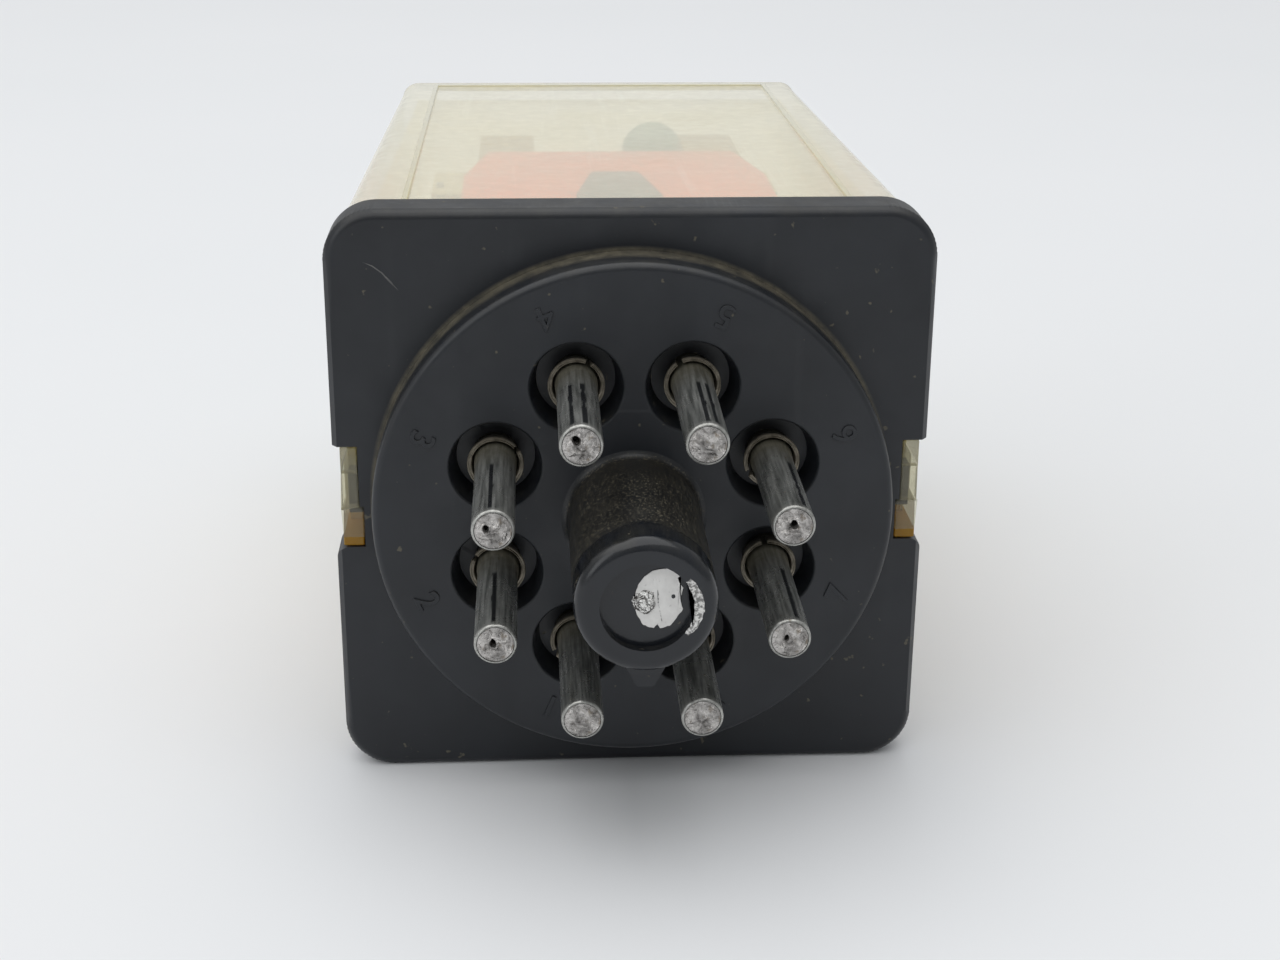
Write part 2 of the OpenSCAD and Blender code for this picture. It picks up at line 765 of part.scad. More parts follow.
lamp_x = 3.8;
lamp_y = 46.8;
board_z = 8.6;
board_t = 1;
lamp_lead_x = 12.9;
module lamp_board() {
    wide = 27;
    near_y = 44.2;
    far_y = 52;
    color([0.5, 0.4, 0.2])
        difference() {
            block([-wide / 2, near_y, board_z],
                [wide / 2, far_y, board_z + board_t]);
            for (s = [-1, 1])
                translate([s * lamp_lead_x, lamp_y, board_z - gap])
                    cylinder(h = board_t + 2 * gap, r = wire_r + fit);
        }
}
module lamp() {
    lamp_r = 2.4;
    rim = 0.3;
    rim_t = 0.9;
    body_h = 2.6;
    color([0.3, 0.5, 0.3, 0.8])
        translate([lamp_x, lamp_y, board_z + board_t + fit])
            rotate_extrude()
                polygon(concat([[0, 0], [lamp_r + rim, 0], [lamp_r + rim, rim_t], [lamp_r, rim_t]],
                    [for (a = [0:10:90]) [lamp_r * cos(a), body_h + lamp_r * sin(a)]]));
}
module lamp_resistor() {
    body_r = 1.1;
    body_w = 6;
    cap_w = 1.4;
    waist = 0.15;
    color([0.75, 0.65, 0.45])
        translate([-body_w - 1, lamp_y, board_z + board_t + body_r + fit])
            rotate([0, 90, 0])
                union() {
                    cylinder(h = body_w, r = body_r - waist);
                    cylinder(h = cap_w, r = body_r);
                    translate([0, 0, body_w - cap_w])
                        cylinder(h = cap_w, r = body_r);
                }
}
lamp_route = [[9.5, 10, -3.2], [11.8, 10.8, -3.6], [13.6, 13, -2.2], [13.9, 18, 1], [13.7, 30, 5],
    [13.2, 40, 5.4], [12.9, 45.2, 5.8], [12.9, 46.8, 7.2], [12.9, 46.8, 9.9]];
module lamp_leads() {
    color([0.7, 0.7, 0.7])
        for (s = [-1, 1])
            tube(spline(to_side(lamp_route, s), 4), wire_r);
}

base();
pin_1();
pin_2();
pin_3();
pin_4();
pin_5();
pin_6();
pin_7();
pin_8();
solder_tips();
seal_dab();
cover();
yoke();
frame_screws();
core();
bobbin();
winding();
coil_tape();
coil_leads();
contact_block();
block_screws();
no_blade_left();
no_blade_right();
nc_blade_left();
nc_blade_right();
fixed_contacts();
contact_wires();
armature();
armature_rivets();
contact_carrier();
moving_blade_left();
moving_blade_right();
blade_rivets();
moving_contacts();
return_spring();
braid_left();
braid_right();
lamp_board();
lamp();
lamp_resistor();
lamp_leads();
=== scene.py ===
"""Looks for the plug-in relay: black octal base, worn hollow pins and a yellowed clear cover.

Everything is in metres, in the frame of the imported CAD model: -Y along the pins, +Z up, the key at
the bottom, the origin at the centre of the seating face.
"""

import json
import math
import random

import bmesh
import bpy
from mathutils import Matrix, Vector, noise

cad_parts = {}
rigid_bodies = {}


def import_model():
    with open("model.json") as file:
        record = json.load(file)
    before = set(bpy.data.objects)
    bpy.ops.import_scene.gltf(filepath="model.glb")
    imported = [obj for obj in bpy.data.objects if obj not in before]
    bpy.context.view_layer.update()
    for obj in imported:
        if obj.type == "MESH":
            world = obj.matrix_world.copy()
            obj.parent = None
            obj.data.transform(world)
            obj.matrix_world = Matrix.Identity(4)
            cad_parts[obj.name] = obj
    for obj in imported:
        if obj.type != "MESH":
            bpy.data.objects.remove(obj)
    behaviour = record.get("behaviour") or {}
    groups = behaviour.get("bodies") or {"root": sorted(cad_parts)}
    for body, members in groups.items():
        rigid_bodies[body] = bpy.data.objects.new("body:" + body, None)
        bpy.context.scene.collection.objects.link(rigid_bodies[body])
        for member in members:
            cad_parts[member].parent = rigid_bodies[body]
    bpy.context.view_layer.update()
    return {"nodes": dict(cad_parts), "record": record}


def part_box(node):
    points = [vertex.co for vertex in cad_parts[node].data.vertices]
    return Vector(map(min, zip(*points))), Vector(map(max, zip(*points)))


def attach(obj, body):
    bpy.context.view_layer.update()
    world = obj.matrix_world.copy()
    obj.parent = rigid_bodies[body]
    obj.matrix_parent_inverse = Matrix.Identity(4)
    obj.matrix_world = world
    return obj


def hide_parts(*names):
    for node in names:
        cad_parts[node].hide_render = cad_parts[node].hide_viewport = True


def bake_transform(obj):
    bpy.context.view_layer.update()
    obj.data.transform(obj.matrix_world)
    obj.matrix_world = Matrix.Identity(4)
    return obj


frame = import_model()
MM = 0.001


# ---- Places taken from the frame ----

MOUNTS = {m["name"]: m for m in frame["record"]["mounts"]}
PIN_CIRCLE_R = MOUNTS["pin_circle"]["dims"]["pcd_mm"] * MM / 2
PIN_R = MOUNTS["pin_circle"]["dims"]["stud_r_mm"] * MM
BASE_LOW, BASE_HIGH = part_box("base")
PLATE_HALF = BASE_HIGH.x
POST_END = BASE_LOW.y
POST_R = 3.88 * MM
PIN_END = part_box("pin_1")[0].y
COLLAR_R = 1.36 * MM
COVER_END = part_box("cover")[1].y
DISC_R = 15.35 * MM
PLATE_FRONT = 3 * MM
PLATE_BACK = 6 * MM
WELL_R = 2.68 * MM
WELL_DEPTH = 2.2 * MM
RECESS_Y = POST_END + 0.6 * MM


def pin_angle(n):
    return math.radians(-67.5 - 45 * n)


def pin_place(n):
    return Vector((PIN_CIRCLE_R * math.cos(pin_angle(n)), 0, PIN_CIRCLE_R * math.sin(pin_angle(n))))


# ---- Node materials ----

class Nodes:
    """Short calls for building one material's node tree."""

    def __init__(self, name):
        self.material = bpy.data.materials.new(name)
        self.material.use_nodes = True
        self.tree = self.material.node_tree
        self.shader = self.tree.nodes["Principled BSDF"]
        self.output = self.tree.nodes["Material Output"]
        self.coords = self.add("ShaderNodeTexCoord").outputs["Object"]

    def add(self, kind, **values):
        node = self.tree.nodes.new(kind)
        for key, value in values.items():
            if hasattr(node, key):
                setattr(node, key, value)
            else:
                node.inputs[key.replace("_", " ")].default_value = value
        return node

    def link(self, a, b):
        self.tree.links.new(a, b)

    def set(self, name, value):
        """Sets a socket of the main shader, or links it where value is another socket."""
        socket = self.shader.inputs[name]
        if isinstance(value, bpy.types.NodeSocket):
            self.link(value, socket)
        else:
            socket.default_value = value

    def math(self, operation, a, b=0.5, c=None, clamp=False):
        node = self.add("ShaderNodeMath", operation=operation, use_clamp=clamp)
        for i, value in enumerate((a, b, c)):
            if isinstance(value, bpy.types.NodeSocket):
                self.link(value, node.inputs[i])
            elif value is not None:
                node.inputs[i].default_value = value
        return node.outputs[0]

    def noise(self, scale, detail=4.0, rough=0.6, stretch=(1, 1, 1), distortion=0.0, shift=None):
        mapping = self.add("ShaderNodeMapping")
        mapping.inputs["Scale"].default_value = stretch
        self.link(self.coords, mapping.inputs["Vector"])
        if shift is not None:
            self.link(shift, mapping.inputs["Location"])
        node = self.add("ShaderNodeTexNoise")
        node.inputs["Scale"].default_value = scale
        node.inputs["Detail"].default_value = detail
        node.inputs["Roughness"].default_value = rough
        node.inputs["Distortion"].default_value = distortion
        self.link(mapping.outputs[0], node.inputs["Vector"])
        return node.outputs["Fac"]

    def ramp(self, value, low, high, start=0.0, end=1.0):
        node = self.add("ShaderNodeMapRange", clamp=True)
        self.link(value, node.inputs["Value"])
        for key, number in (("From Min", low), ("From Max", high), ("To Min", start), ("To Max", end)):
            node.inputs[key].default_value = number
        return node.outputs[0]

    def mix(self, fac, a, b):
        node = self.add("ShaderNodeMix", data_type="RGBA")
        for socket, value in ((node.inputs[0], fac), (node.inputs[6], a), (node.inputs[7], b)):
            if isinstance(value, bpy.types.NodeSocket):
                self.link(value, socket)
            else:
                socket.default_value = value if isinstance(value, float) else (*value, 1)
        return node.outputs[2]

    def axis(self, name):
        """X, Y or Z of the object coordinates, in metres."""
        node = self.add("ShaderNodeSeparateXYZ")
        self.link(self.coords, node.inputs[0])
        return node.outputs[name]

    def facing_up(self):
        """Z of the surface's own normal, in object space: 1 where it faces up."""
        normal = self.add("ShaderNodeTexCoord").outputs["Normal"]
        node = self.add("ShaderNodeSeparateXYZ")
        self.link(normal, node.inputs[0])
        return node.outputs["Z"]

    def mask(self, name):
        """A mask painted on the mesh as a vertex attribute."""
        return self.add("ShaderNodeAttribute", attribute_name=name).outputs["Fac"]

    def random(self):
        return self.add("ShaderNodeObjectInfo").outputs["Random"]

    def bump(self, height, distance, strength=1.0):
        node = self.add("ShaderNodeBump")
        node.inputs["Strength"].default_value = strength
        node.inputs["Distance"].default_value = distance
        self.link(height, node.inputs["Height"])
        self.link(node.outputs[0], self.shader.inputs["Normal"])
        return node


def black_plastic():
    """Blue-black moulding with fine grain, brown dust on what faces up, and a few specks."""
    n = Nodes("black_plastic")
    tone = n.noise(160, 3, 0.5)
    base = n.mix(n.ramp(tone, 0.3, 0.7), (0.006, 0.0075, 0.0105), (0.011, 0.0135, 0.018))
    x, y, z = n.axis("X"), n.axis("Y"), n.axis("Z")
    radius = n.math("SQRT", n.math("ADD", n.math("MULTIPLY", x, x), n.math("MULTIPLY", z, z)))
    upward = n.ramp(n.facing_up(), 0.0, 0.9)
    # The post and the disc's side wall hold dust; the last 2.6 mm of the post is rubbed clean
    near_axis = n.ramp(radius, POST_R + 0.4 * MM, POST_R + 0.2 * MM)
    rubbed = n.ramp(n.math("ADD", y, n.math("MULTIPLY", n.noise(260, 2), 1.2 * MM)),
                    POST_END + 2.9 * MM, POST_END + 3.5 * MM)
    on_post = n.math("MULTIPLY", near_axis, n.math("MULTIPLY", rubbed, n.ramp(y, 0.3 * MM, -0.3 * MM)))
    rim = n.math("MULTIPLY", n.ramp(radius, DISC_R - 0.25 * MM, DISC_R - 0.05 * MM),
                 n.ramp(radius, DISC_R + 0.3 * MM, DISC_R + 0.1 * MM))
    on_rim = n.math("MULTIPLY", rim, n.ramp(y, 1.3 * MM, 2.2 * MM, 0.0, 0.6))
    grains = n.ramp(n.noise(6500, 2, 0.6), 0.57, 0.62)
    patches = n.ramp(n.noise(330, 4, 0.6), 0.35, 0.7, 0.25, 1.0)
    post_dust = n.math("MULTIPLY", n.math("MULTIPLY", on_post, n.ramp(n.facing_up(), -0.5, 0.5)),
                       n.math("MULTIPLY", grains, patches))
    rim_dust = n.math("MULTIPLY", on_rim, n.ramp(n.noise(900, 3, 0.7), 0.3, 0.75, 0.25, 0.9))
    specks = n.math("MULTIPLY", n.ramp(n.noise(1500, 2, 0.5), 0.71, 0.76), 0.35)
    haze = n.math("MULTIPLY", n.math("MULTIPLY", upward, n.ramp(n.noise(700, 4, 0.7), 0.35, 0.8)), 0.1)
    dust = n.math("MAXIMUM", n.math("MAXIMUM", n.math("MULTIPLY", post_dust, 0.62), rim_dust),
                  n.math("MAXIMUM", specks, haze))
    film = n.mix(n.math("MULTIPLY", on_post, 0.7), base, (0.009, 0.0085, 0.007))
    n.set("Base Color", n.mix(dust, film, (0.24, 0.21, 0.14)))
    # Faint arcs left by sockets, and long fine scratches
    arcs = n.ramp(n.math("SINE", n.math("MULTIPLY", radius, 52000.0)), 0.2, 1.0)
    scuffs = n.math("MULTIPLY", arcs, n.ramp(n.noise(170, 2), 0.5, 0.75))
    scratch = n.ramp(n.noise(900, 2, 0.4, (1, 1, 0.06)), 0.62, 0.7)
    rough = n.math("ADD", n.ramp(n.noise(420, 4), 0.3, 0.7, 0.34, 0.46), n.math("MULTIPLY", dust, 0.45))
    rough = n.math("SUBTRACT", rough, n.math("MULTIPLY", n.math("MAXIMUM", scuffs, scratch), 0.05))
    clean_end = n.math("MULTIPLY", near_axis, n.ramp(rubbed, 1.0, 0.0))
    rough = n.math("SUBTRACT", rough, n.math("MULTIPLY", clean_end, 0.2))
    n.set("Roughness", rough)
    n.set("Specular IOR Level", 0.5)
    height = n.math("ADD", n.math("MULTIPLY", n.noise(5200, 2), 0.25), n.math("MULTIPLY", dust, 0.9))
    n.bump(height, 0.03 * MM, 0.5)
    return n.material


def pin_metal():
    """Worn nickel over brass: drawing lines along the pin, tarnish near the root, and painted dark
    reflections in streaks along the upper side.
    """
    n = Nodes("pin_metal")
    random_shift = n.add("ShaderNodeCombineXYZ")
    spread = n.math("MULTIPLY", n.random(), 3.0)
    for axis in ("X", "Y", "Z"):
        n.link(spread, random_shift.inputs[axis])
    shift = random_shift.outputs[0]
    lines = n.noise(5200, 3, 0.6, (1, 0.05, 1), 0.0, shift)
    blotch = n.noise(900, 4, 0.65, (1, 0.6, 1), 0.3, shift)
    spots = n.noise(2600, 3, 0.6, (1, 1, 1), 0.0, shift)
    y = n.axis("Y")
    metal = n.mix(n.ramp(lines, 0.35, 0.65), (0.15, 0.155, 0.145), (0.48, 0.485, 0.46))
    metal = n.mix(n.ramp(blotch, 0.42, 0.72, 0.0, 0.5), metal, (0.14, 0.145, 0.14))
    root = n.ramp(n.math("ADD", y, n.math("MULTIPLY", blotch, 1.6 * MM)), -2.2 * MM, 1.2 * MM)
    metal = n.mix(n.math("MULTIPLY", root, 0.8), metal, (0.15, 0.135, 0.09))
    uneven = n.math("ADD", y, n.math("MULTIPLY", spots, 0.9 * MM))
    tip = n.ramp(uneven, PIN_END + 1.1 * MM, PIN_END + 0.5 * MM)
    metal = n.mix(n.math("MULTIPLY", tip, 0.45), metal, (0.5, 0.49, 0.46))
    rust = n.math("MULTIPLY", n.ramp(spots, 0.66, 0.74), 0.7)
    metal = n.mix(rust, metal, (0.13, 0.085, 0.035))
    # Painted reflections: near-black streaks along the upper side stand for dark surroundings mirrored in
    # the pin
    streak = n.mask("streak")
    n.set("Base Color", n.mix(streak, metal, (0.012, 0.013, 0.014)))
    n.set("Metallic", n.ramp(n.math("MAXIMUM", rust, streak), 0.0, 1.0, 0.72, 0.3))
    n.set("Roughness", n.math("ADD", n.ramp(blotch, 0.3, 0.75, 0.2, 0.42), n.math("MULTIPLY", root, 0.22)))
    height = n.math("ADD", n.math("MULTIPLY", lines, 0.7), n.math("MULTIPLY", spots, 0.5))
    n.bump(height, 0.03 * MM, 0.6)
    return n.material


def rim_metal():
    """The flared rims: browned brass in lighter and darker blotches."""
    n = Nodes("rim_metal")
    blotch = n.noise(1400, 4, 0.6)
    n.set("Base Color", n.mix(n.ramp(blotch, 0.35, 0.7), (0.13, 0.115, 0.09), (0.36, 0.325, 0.26)))
    n.set("Metallic", 0.55)
    n.set("Roughness", n.ramp(blotch, 0.3, 0.7, 0.3, 0.5))
    n.bump(n.noise(3800, 3), 0.02 * MM, 0.5)
    return n.material


def solder():
    """Bright, lumpy, slightly pink-grey solder with pits and flux stains; the inside of its holes is painted
    near-black as shade.
    """
    n = Nodes("solder")
    lumps = n.noise(1500, 4, 0.6, (1, 1, 1), 0.5)
    pits = n.noise(4200, 3, 0.6)
    stain = n.ramp(n.noise(1900, 3, 0.6), 0.58, 0.68)
    tone = n.mix(n.ramp(lumps, 0.3, 0.7), (0.15, 0.142, 0.135), (0.66, 0.635, 0.61))
    tone = n.mix(n.math("MULTIPLY", stain, 0.7), tone, (0.12, 0.085, 0.045))
    # Painted shade: the inside of each hole in the solder is painted near-black
    hole_shade = n.mask("streak")
    n.set("Base Color", n.mix(hole_shade, tone, (0.012, 0.01, 0.008)))
    n.set("Metallic", n.ramp(n.math("MAXIMUM", stain, hole_shade), 0.0, 1.0, 0.85, 0.2))
    n.set("Roughness", n.ramp(pits, 0.3, 0.75, 0.17, 0.46))
    n.bump(n.math("ADD", lumps, n.math("MULTIPLY", pits, 0.4)), 0.22 * MM, 0.9)
    return n.material


def lacquer(name="lacquer", worn=0.0):
    """Silver lacquer: almost white, flat, with small pores; worn shows more of the black below."""
    n = Nodes(name)
    pores = n.noise(5200, 3, 0.7)
    tone = n.mix(n.ramp(n.noise(900, 4), 0.3, 0.7), (0.62, 0.61, 0.59), (0.78, 0.77, 0.745))
    n.set("Base Color", n.mix(n.ramp(pores, 0.66 - worn, 0.75 - worn, 0.0, 0.8), tone, (0.09, 0.088, 0.085)))
    n.set("Metallic", 0.35)
    n.set("Roughness", n.ramp(pores, 0.3, 0.7, 0.4, 0.55))
    n.bump(pores, 0.02 * MM, 0.6)
    return n.material


def foil():
    """Crinkled bright lump in the lacquer."""
    n = Nodes("foil")
    crinkle = n.noise(4200, 4, 0.7, (1, 1, 1), 1.0)
    n.set("Base Color", n.mix(n.ramp(crinkle, 0.4, 0.55), (0.06, 0.055, 0.05), (0.92, 0.91, 0.88)))
    n.set("Metallic", 1.0)
    n.set("Roughness", 0.22)
    n.bump(crinkle, 0.1 * MM, 1.0)
    return n.material


def clear_plastic(name="clear_cover", haze=0.07, tint=(0.97, 0.945, 0.86), body=(0.95, 0.935, 0.84)):
    """Yellowed clear plastic: a milky film that is denser at the far end and at a slant, and scratches."""
    n = Nodes(name)
    clear = n.add("ShaderNodeBsdfTransparent")
    clear.inputs["Color"].default_value = (*tint, 1)
    clouds = n.noise(140, 4, 0.6)
    scratches = n.ramp(n.noise(700, 3, 0.5, (1, 0.04, 1)), 0.62, 0.72)
    film = n.math("MULTIPLY", n.ramp(clouds, 0.3, 0.7, haze - 0.05, haze + 0.05),
                  n.ramp(n.axis("Y"), 8 * MM, 50 * MM, 0.55, 1.5))
    film = n.math("ADD", film, n.math("MULTIPLY", scratches, 0.05))
    edge = n.add("ShaderNodeLayerWeight")
    edge.inputs["Blend"].default_value = 0.35
    slanting = n.math("MULTIPLY", n.math("POWER", edge.outputs["Facing"], 2.0), 0.85)
    film = n.math("ADD", film, slanting, clamp=True)
    n.set("Base Color", n.mix(n.ramp(clouds, 0.35, 0.7), body, tuple(0.94 * c for c in body)))
    n.set("Roughness", n.ramp(n.noise(900, 3), 0.3, 0.7, 0.1, 0.24))
    n.set("Transmission Weight", 0.0)
    n.bump(n.math("ADD", clouds, n.math("MULTIPLY", scratches, 0.3)), 0.03 * MM, 0.3)
    both = n.add("ShaderNodeMixShader")
    n.link(film, both.inputs[0])
    n.link(clear.outputs[0], both.inputs[1])
    n.link(n.shader.outputs[0], both.inputs[2])
    n.link(both.outputs[0], n.output.inputs["Surface"])
    return n.material


def moulding(name, low, high, rough=(0.35, 0.5), grain=2400, specks=0.15):
    """Coloured moulded plastic or laminate, with mottling, fine grain and a little dust."""
    n = Nodes(name)
    mottle = n.noise(500, 4, 0.6)
    colour = n.mix(n.ramp(mottle, 0.3, 0.7), low, high)
    dust = n.math("MULTIPLY", n.ramp(n.noise(2100, 3), 0.6, 0.75), specks)
    n.set("Base Color", n.mix(dust, colour, (0.5, 0.46, 0.38)))
    n.set("Roughness", n.ramp(mottle, 0.3, 0.7, *rough))
    n.bump(n.noise(grain, 3), 0.02 * MM, 0.5)
    return n.material


def metal(name, low, high, rough=(0.25, 0.42), along=(1, 1, 1), stain=(0.2, 0.16, 0.1), stained=0.4):
    """Bare or plated metal with rolling lines along one direction and light tarnish."""
    n = Nodes(name)
    lines = n.noise(3600, 3, 0.6, along)
    blotch = n.noise(700, 4, 0.6)
    colour = n.mix(n.ramp(lines, 0.3, 0.7), low, high)
    spots = n.math("MULTIPLY", n.ramp(blotch, 0.58, 0.74), stained)
    n.set("Base Color", n.mix(spots, colour, stain))
    n.set("Metallic", 1.0)
    n.set("Roughness", n.ramp(blotch, 0.3, 0.7, *rough))
    n.bump(lines, 0.015 * MM, 0.5)
    return n.material


def wound_copper():
    """Enamelled wire: fine turns side by side round the coil's axis."""
    n = Nodes("wound_copper")
    turns = n.math("SINE", n.math("MULTIPLY", n.axis("Y"), 2 * math.pi / (0.22 * MM)))
    n.set("Base Color", n.mix(n.ramp(turns, -0.9, 0.6), (0.12, 0.035, 0.015), (0.55, 0.22, 0.09)))
    n.set("Metallic", 0.8)
    n.set("Roughness", n.ramp(n.noise(900), 0.3, 0.7, 0.28, 0.42))
    n.bump(turns, 0.05 * MM, 0.8)
    return n.material


def woven_copper():
    """Bare braid: two sets of strands crossing round the lead."""
    n = Nodes("woven_copper")
    x, y, z = n.axis("X"), n.axis("Y"), n.axis("Z")
    pitch = 2 * math.pi / (0.55 * MM)
    one = n.math("SINE", n.math("MULTIPLY", n.math("ADD", n.math("ADD", x, y), z), pitch))
    two = n.math("SINE", n.math("MULTIPLY", n.math("SUBTRACT", n.math("SUBTRACT", x, y), z), pitch))
    weave = n.math("MAXIMUM", one, two)
    n.set("Base Color", n.mix(n.ramp(weave, -0.6, 0.8), (0.18, 0.07, 0.03), (0.7, 0.36, 0.2)))
    n.set("Metallic", 0.9)
    n.set("Roughness", n.ramp(n.noise(1200), 0.3, 0.7, 0.35, 0.5))
    n.bump(weave, 0.08 * MM, 0.9)
    return n.material


def film_tape():
    """Amber film tape over the winding, with overlapping wraps."""
    n = Nodes("film_tape")
    wraps = n.ramp(n.math("PINGPONG", n.axis("Y"), 3.2 * MM), 0.0, 0.25 * MM)
    n.set("Base Color", n.mix(wraps, (0.32, 0.16, 0.03), (0.68, 0.4, 0.09)))
    n.set("Roughness", n.ramp(n.noise(600), 0.3, 0.7, 0.18, 0.32))
    n.set("Coat Weight", 0.5)
    n.bump(n.math("ADD", wraps, n.noise(900)), 0.05 * MM, 0.6)
    return n.material


def green_lens():
    """Green lamp body, slightly clear."""
    n = Nodes("green_lens")
    swirl = n.noise(500, 3)
    n.set("Base Color", n.mix(n.ramp(swirl, 0.3, 0.7), (0.05, 0.2, 0.09), (0.08, 0.28, 0.12)))
    n.set("Roughness", n.ramp(n.noise(1600), 0.3, 0.7, 0.12, 0.25))
    n.set("Transmission Weight", 0.25)
    n.bump(n.noise(2200), 0.01 * MM, 0.4)
    return n.material


# ---- Mesh tools ----

def new_object(name, bm, material, body="relay", smooth_angle=35):
    """Turns a bmesh into a smooth-shaded mesh object in the scene."""
    mesh = bpy.data.meshes.new(name)
    bmesh.ops.recalc_face_normals(bm, faces=bm.faces[:])
    for face in bm.faces:
        face.smooth = True
    bm.to_mesh(mesh)
    bm.free()
    for m in material if isinstance(material, (list, tuple)) else [material]:
        mesh.materials.append(m)
    obj = bpy.data.objects.new(name, mesh)
    bpy.context.scene.collection.objects.link(obj)
    mesh.set_sharp_from_angle(angle=math.radians(smooth_angle))
    return obj


def soften(node, material, width=0.12, segments=2, angle=40):
    """A copy of a CAD node with rounded edges, which stands for the node."""
    source = frame["nodes"][node]
    bm = bmesh.new()
    bm.from_mesh(source.data)
    bmesh.ops.remove_doubles(bm, verts=bm.verts[:], dist=1e-6)
    bmesh.ops.dissolve_limit(bm, angle_limit=math.radians(0.5), verts=bm.verts[:], edges=bm.edges[:])
    body = source.parent.name.removeprefix("body:") if source.parent else "relay"
    obj = new_object(node + "_look", bm, material, body)
    bevel = obj.modifiers.new("edge", "BEVEL")
    bevel.width = width * MM
    bevel.segments = segments
    bevel.limit_method = "ANGLE"
    bevel.angle_limit = math.radians(angle)
    bevel.harden_normals = True
    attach(obj, body)
    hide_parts(node)
    return obj


def lathe(bm, profile, steps=64, centre=(0, 0, 0), material=0, start=0.0, sweep=2 * math.pi):
    """Turns a profile of (radius, y) points round a line along Y. A radius of 0 makes a pole."""
    full = sweep > 2 * math.pi - 1e-6
    columns = steps if full else steps + 1
    rings = []
    for r, y in profile:
        if r < 1e-9:
            rings.append([bm.verts.new((centre[0], centre[1] + y, centre[2]))] * columns)
            continue
        ring = []
        for k in range(columns):
            a = start + sweep * k / steps
            place = (centre[0] + r * math.cos(a), centre[1] + y, centre[2] + r * math.sin(a))
            ring.append(bm.verts.new(place))
        rings.append(ring)
    faces = []
    for one, two in zip(rings, rings[1:]):
        for k in range(steps):
            j = (k + 1) % columns
            corners = []
            for v in (one[k], one[j], two[j], two[k]):
                if v not in corners:
                    corners.append(v)
            if len(corners) > 2:
                face = bm.faces.new(corners)
                face.material_index = material
                faces.append(face)
    return rings, faces


def arc(cx, cy, r, a0, a1, steps):
    """Points of an arc, with angles in degrees."""
    out = []
    for k in range(steps + 1):
        a = math.radians(a0 + (a1 - a0) * k / steps)
        out.append((cx + r * math.cos(a), cy + r * math.sin(a)))
    return out


def rounded_ring(bm, half, corner, y, steps=8):
    """Vertices of a square with round corners, in a plane across Y."""
    ring = []
    for quarter in range(4):
        for k in range(steps + 1):
            a = math.radians(90 * quarter + 90 * k / steps)
            cx = (half - corner) * (1 if quarter in (0, 3) else -1)
            cz = (half - corner) * (1 if quarter in (0, 1) else -1)
            ring.append(bm.verts.new((cx + corner * math.cos(a), y, cz + corner * math.sin(a))))
    return ring


def bridge(bm, one, two, material=0):
    """Faces between two rings with the same number of vertices."""
    count = len(one)
    for k in range(count):
        j = (k + 1) % count
        bm.faces.new((one[k], one[j], two[j], two[k])).material_index = material


def box_mesh(bm, low, high, material=0):
    """A box between two corners; returns its vertices."""
    corners = [(x, y, z) for x in (low[0], high[0]) for y in (low[1], high[1]) for z in (low[2], high[2])]
    verts = [bm.verts.new(corner) for corner in corners]
    for quad in ((0, 1, 3, 2), (4, 6, 7, 5), (0, 4, 5, 1), (2, 3, 7, 6), (0, 2, 6, 4), (1, 5, 7, 3)):
        bm.faces.new([verts[i] for i in quad]).material_index = material
    return verts


def finish_piece(obj, body, *nodes):
    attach(obj, body)
    if nodes:
        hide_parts(*nodes)
    return obj


# ---- Materials in use ----

BLACK = black_plastic()
PIN = pin_metal()
RIM = rim_metal()
SOLDER = solder()
LACQUER = lacquer()
WORN = lacquer("lacquer_worn", 0.2)
SCRATCH = moulding("scratched_plastic", (0.06, 0.06, 0.06), (0.13, 0.13, 0.125), (0.5, 0.65))
FOIL = foil()
CLEAR = clear_plastic()
EDGE = clear_plastic("clear_edge", 0.62, (0.8, 0.72, 0.4), (0.5, 0.46, 0.27))
TAB = clear_plastic("clear_tab", 0.4, (0.9, 0.88, 0.76), (0.5, 0.48, 0.41))
FRAME = clear_plastic("label_line", 0.3, (0.93, 0.9, 0.76), (0.85, 0.83, 0.7))
AMBER = clear_plastic("amber_edge", 0.8, (0.85, 0.55, 0.1), (0.5, 0.3, 0.035))
RED = moulding("red_plastic", (0.72, 0.1, 0.02), (0.88, 0.17, 0.04), (0.28, 0.42))
BROWN = moulding("brown_plastic", (0.13, 0.045, 0.03), (0.22, 0.085, 0.05), (0.4, 0.55))
BOARD = moulding("board_laminate", (0.6, 0.54, 0.36), (0.72, 0.66, 0.46), (0.35, 0.5))
CERAMIC = moulding("resistor_body", (0.52, 0.4, 0.22), (0.66, 0.53, 0.32), (0.25, 0.4))
RED_WIRE = moulding("red_wire", (0.4, 0.03, 0.02), (0.55, 0.06, 0.03), (0.35, 0.5))
IRON = metal("plated_iron", (0.36, 0.35, 0.33), (0.5, 0.49, 0.46), (0.32, 0.5), (1, 0.1, 1))
STEEL = metal("plated_steel", (0.5, 0.49, 0.46), (0.66, 0.65, 0.62), (0.25, 0.4))
BLADE = metal("blade_brass", (0.55, 0.4, 0.15), (0.72, 0.55, 0.24), (0.24, 0.4), (1, 0.08, 1))
SILVER = metal("contact_silver", (0.6, 0.6, 0.59), (0.8, 0.8, 0.79), (0.18, 0.35))
TIN = metal("tinned_wire", (0.45, 0.45, 0.44), (0.62, 0.62, 0.6), (0.3, 0.45))
SPRING = metal("spring_wire", (0.5, 0.5, 0.51), (0.68, 0.68, 0.69), (0.2, 0.32))
COPPER = wound_copper()
BRAID = woven_copper()
TAPE = film_tape()
LENS = green_lens()


# ---- Base ----

